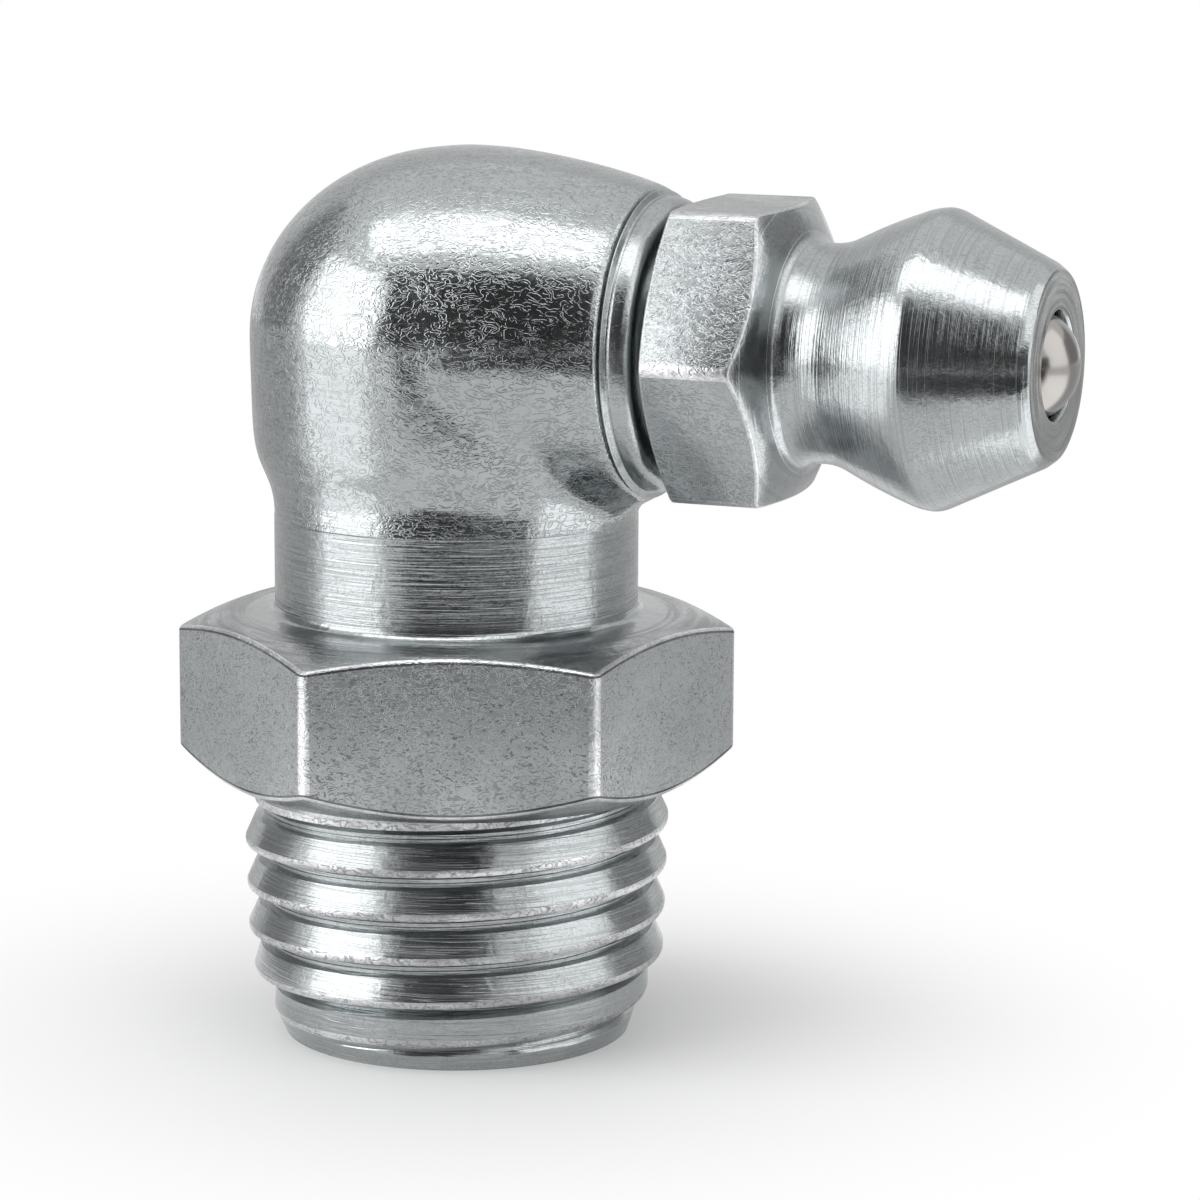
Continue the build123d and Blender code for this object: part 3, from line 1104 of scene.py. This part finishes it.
@dataclass
class CheckValve:
    """The steel ball behind the head's lip, and its spring.

    Args:
        finishes: The scene's finishes.
        stroke: How far the ball slides in, in metres. It is not used.
        spare: Room kept between the ball and the spring at full stroke, in metres. It is not used.
    """

    finishes: Finishes
    stroke: float = 0.001
    spare: float = 0.00002

    def build(self) -> None:
        """Make the ball, and its spring from a merged copy of the spring's solid."""
        low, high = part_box("check_ball")
        radius = (high.z - low.z) / 2 / MM
        bm = bmesh.new()
        bmesh.ops.create_icosphere(bm, subdivisions=5, radius=radius)
        bmesh.ops.translate(bm, vec=(low + high) / 2 / MM, verts=bm.verts)
        ball = finished(bm, "polished_ball", [self.finishes.steel("ball_steel", (0.38, 0.365, 0.35), 0.15)])
        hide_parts("check_ball")
        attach(ball, "ball")
        self._spring()
        log.info("%s: %d faces", ball.name, len(ball.data.polygons))

    def _spring(self) -> None:
        """Make the spring from a merged copy of its solid."""
        bm = copy_of_node("check_spring", merge=1e-4)
        spring = finished(bm, "valve_spring", [self.finishes.steel("spring_steel", (0.42, 0.41, 0.4), 0.25)])
        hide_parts("check_spring")
        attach(spring, "fitting")
        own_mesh(spring)
        log.info("%s: %d faces", spring.name, len(spring.data.polygons))


# Studio


@dataclass(frozen=True)
class Panel:
    """A panel of the studio, placed by direction from the fitting.

    Args:
        name: Its name.
        azimuth: Degrees to the right of the camera, as the fitting sees it.
        elevation: Degrees above the floor.
        width, height: Its angular size in degrees.
        level: Its radiance.
    """

    name: str
    azimuth: float
    elevation: float
    width: float
    height: float
    level: float


@dataclass(frozen=True)
class FloorCard:
    """A card on the floor round the fitting, which only the metal sees.

    Args:
        name: Its name.
        start, end: Its sides, in degrees to the right of the camera.
        near, far: Its reach from the shank's axis, in millimetres.
        level: Its radiance.
    """

    name: str
    start: float
    end: float
    near: float
    far: float
    level: float


@dataclass
class Studio:
    """Camera, floor, softboxes, and the flags, reflectors and floor cards that the metal mirrors.

    The panels and cards were placed and set from tones of the photograph. Two lamps, one reflector and two
    cards are brighter than the world's 1.0.

    Args:
        distance: Distance of the lamps and panels from the target, in metres.
        target: The point that they face, in metres.
        camera_place: The camera's place, in millimetres.
        camera_azimuth, camera_elevation, camera_roll: Its direction, in degrees.
        lens, sensor: Its lens and its sensor's width, in millimetres.
        softboxes: The lamps.
        panels: The standing flags and reflectors.
        cards: The cards on the floor.
        fill: The world's strength for diffuse light.
        floor_tone: Linear tone of the floor.
        floor_fade: Where the floor starts and ends its fade to white, in metres.
        floor_glow: Share of white in the floor next to the shank.
    """

    distance: float = 0.32
    target: Vector = field(default_factory=lambda: Vector((0.004, 0.0, 0.0115)))
    camera_place: tuple[float, float, float] = (39.286, -85.127, 26.852)
    camera_azimuth: float = 22.788
    camera_elevation: float = 10.262
    camera_roll: float = 0.3025
    lens: float = 126.0
    sensor: float = 36.0
    softboxes: tuple[Panel, ...] = (
        Panel("key_softbox", -68.0, 19.0, 44.0, 44.0, 2.1),
        Panel("top_softbox", -20.0, 74.0, 66.0, 26.0, 2.0),
    )
    panels: tuple[Panel, ...] = (
        Panel("right_reflector", 74.0, 26.0, 50.0, 54.0, 1.8),
        Panel("front_flag", -15.0, 23.0, 62.0, 54.0, 0.05),
        Panel("low_front_flag", 33.0, 7.0, 34.0, 22.0, 0.12),
        Panel("left_back_flag", -120.0, 20.0, 34.0, 46.0, 0.3),
        Panel("right_back_flag", 116.0, 12.0, 42.0, 32.0, 0.35),
        Panel("back_flag", 180.0, 22.0, 88.0, 40.0, 0.75),
    )
    cards: tuple[FloorCard, ...] = (
        FloorCard("dark_card", -30.0, 46.0, 44.0, 250.0, 0.06),
        FloorCard("left_card", -88.0, -49.0, 18.0, 250.0, 1.8),
        FloorCard("right_card", 50.0, 92.0, 18.0, 75.0, 1.9),
        FloorCard("grey_card", 97.0, 265.0, 22.0, 250.0, 0.58),
    )
    fill: float = 0.6
    floor_tone: float = 0.86
    floor_fade: tuple[float, float] = (0.003, 0.018)
    floor_glow: float = 0.15

    def build(self) -> None:
        """Set up the whole studio."""
        bpy.context.scene.view_settings.view_transform = "Standard"
        self._camera()
        self._world()
        self._floor()
        for panel in self.softboxes:
            self._softbox(panel)
        for panel in self.panels:
            self._panel(panel)
        for card in self.cards:
            self._floor_card(card)

    def _facing(self) -> float:
        """Return the camera's azimuth as an angle about Z."""
        return math.radians(self.camera_azimuth - 90)

    def _placed(self, panel: Panel) -> tuple[Matrix, float, float]:
        """Return a panel's place, facing the fitting, with its width and height in metres."""
        azimuth = self._facing() + math.radians(panel.azimuth)
        elevation = math.radians(panel.elevation)
        out = Vector((
            math.cos(elevation) * math.cos(azimuth),
            math.cos(elevation) * math.sin(azimuth),
            math.sin(elevation),
        ))
        turn = out.to_track_quat("Z", "Y").to_matrix().to_4x4()
        width = 2 * self.distance * math.tan(math.radians(panel.width / 2))
        height = 2 * self.distance * math.tan(math.radians(panel.height / 2))
        return Matrix.Translation(self.target + out * self.distance) @ turn, width, height

    def _softbox(self, panel: Panel) -> None:
        """Hang a softbox."""
        matrix, width, height = self._placed(panel)
        lamp = bpy.data.lights.new(panel.name, "AREA")
        lamp.shape = "RECTANGLE"
        lamp.size = width
        lamp.size_y = height
        lamp.energy = panel.level * math.pi * width * height
        holder = bpy.data.objects.new(panel.name, lamp)
        holder.matrix_world = matrix
        bpy.context.scene.collection.objects.link(holder)

    def _panel(self, panel: Panel) -> None:
        """Hang a flag or a reflector that only the metal sees."""
        matrix, width, height = self._placed(panel)
        bm = bmesh.new()
        bmesh.ops.create_grid(bm, x_segments=1, y_segments=1, size=0.5)
        bmesh.ops.scale(bm, vec=(width, height, 1), verts=bm.verts)
        bmesh.ops.transform(bm, matrix=matrix, verts=bm.verts)
        self._card(bm, panel.name, panel.level)

    def _floor_card(self, card: FloorCard) -> None:
        """Lay a sector of card on the floor."""
        bm = bmesh.new()
        start = self._facing() + math.radians(card.start)
        out = Vector((math.cos(start), math.sin(start), 0.0)) * MM
        lift = Vector((0.0, 0.0, 0.1 * MM))
        ends = [bm.verts.new(out * reach + lift) for reach in (card.near, card.far)]
        bm.edges.new(ends)
        bmesh.ops.spin(
            bm, geom=bm.verts[:] + bm.edges[:], cent=(0, 0, 0), axis=(0, 0, 1), dvec=(0, 0, 0),
            angle=math.radians(card.end - card.start), steps=24, use_merge=False,
            use_normal_flip=False, use_duplicate=False,
        )
        self._card(bm, card.name, card.level)

    @staticmethod
    def _card(bm: bmesh.types.BMesh, name: str, level: float) -> None:
        """Make a card of even tone that only the metal sees from a mesh in metres, which is freed."""
        mesh = bpy.data.meshes.new(name)
        bm.to_mesh(mesh)
        bm.free()
        material = bpy.data.materials.new(name)
        material.use_nodes = True
        shader = material.node_tree.nodes["Principled BSDF"]
        shader.inputs["Base Color"].default_value = (0, 0, 0, 1)
        shader.inputs["Specular IOR Level"].default_value = 0.0
        shader.inputs["Emission Color"].default_value = (1, 1, 1, 1)
        shader.inputs["Emission Strength"].default_value = level
        mesh.materials.append(material)
        card = bpy.data.objects.new(name, mesh)
        bpy.context.scene.collection.objects.link(card)
        card.visible_camera = False
        card.visible_diffuse = False
        card.visible_shadow = False

    def _camera(self) -> None:
        """Set the camera where the photograph was taken."""
        turn, lift, roll = (
            math.radians(angle) for angle in (self.camera_azimuth, self.camera_elevation, self.camera_roll)
        )
        back = Vector((
            math.sin(turn) * math.cos(lift), -math.cos(turn) * math.cos(lift), math.sin(lift)
        ))
        right = Vector((math.cos(turn), math.sin(turn), 0.0))
        up = back.cross(right)
        across = math.cos(roll) * right + math.sin(roll) * up
        upward = math.cos(roll) * up - math.sin(roll) * right
        data = bpy.data.cameras.new("camera")
        data.lens = self.lens
        data.sensor_width = self.sensor
        data.clip_start = 0.005
        data.clip_end = 10.0
        camera = bpy.data.objects.new("camera", data)
        camera.matrix_world = Matrix.Translation(Vector(self.camera_place) * MM) @ Matrix(
            (across, upward, back)
        ).transposed().to_4x4()
        bpy.context.scene.collection.objects.link(camera)
        bpy.context.scene.camera = camera

    def _world(self) -> None:
        """Light the surroundings: white to the camera and to metal, softer as a fill."""
        world = bpy.data.worlds.new("studio")
        bpy.context.scene.world = world
        world.use_nodes = True
        sheet = Sheet(world.node_tree)
        background = world.node_tree.nodes["Background"]
        path = sheet.add("ShaderNodeLightPath")
        seen = sheet.math("MAXIMUM", path.outputs["Is Camera Ray"], path.outputs["Is Glossy Ray"])
        seen = sheet.math("MAXIMUM", seen, path.outputs["Is Transmission Ray"])
        sheet.feed(background.inputs["Strength"], sheet.fade(seen, 0.0, 1.0, self.fill, 1.0))
        background.inputs["Color"].default_value = (1, 1, 1, 1)

    def _floor(self) -> None:
        """Lay a pale floor that fades to white away from the fitting."""
        bm = bmesh.new()
        bmesh.ops.create_circle(bm, cap_ends=True, radius=4.0, segments=64)
        mesh = bpy.data.meshes.new("floor")
        bm.to_mesh(mesh)
        bm.free()
        material = bpy.data.materials.new("pale_floor")
        material.use_nodes = True
        sheet = Sheet(material.node_tree)
        nodes = material.node_tree.nodes
        shader = nodes["Principled BSDF"]
        shader.inputs["Base Color"].default_value = (*[self.floor_tone] * 3, 1)
        shader.inputs["Roughness"].default_value = 0.6
        shader.inputs["Specular IOR Level"].default_value = 0.2
        white = sheet.add("ShaderNodeEmission", {"Color": (1, 1, 1, 1), "Strength": 1.0})
        place = sheet.add("ShaderNodeTexCoord").outputs["Object"]
        away = sheet.add("ShaderNodeVectorMath", operation="LENGTH")
        sheet.feed(away.inputs[0], place)
        far = sheet.fade(away.outputs["Value"], *self.floor_fade, self.floor_glow, 1.0)
        blend = sheet.add("ShaderNodeMixShader")
        sheet.feed(blend.inputs[0], far)
        sheet.feed(blend.inputs[1], shader.outputs[0])
        sheet.feed(blend.inputs[2], white.outputs[0])
        sheet.feed(nodes["Material Output"].inputs["Surface"], blend.outputs[0])
        mesh.materials.append(material)
        floor = bpy.data.objects.new("floor", mesh)
        bpy.context.scene.collection.objects.link(floor)


def main() -> None:
    """Build the fitting, piece by piece, then its studio."""
    logging.basicConfig(level=logging.INFO, format="%(name)s: %(message)s")
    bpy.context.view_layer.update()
    elbow = ElbowBody(Finishes(HEAD_HEIGHT))
    elbow.build()
    CouplerHead(elbow.finishes).build()
    CheckValve(elbow.finishes).build()
    Studio().build()


if __name__ == "__main__":
    main()
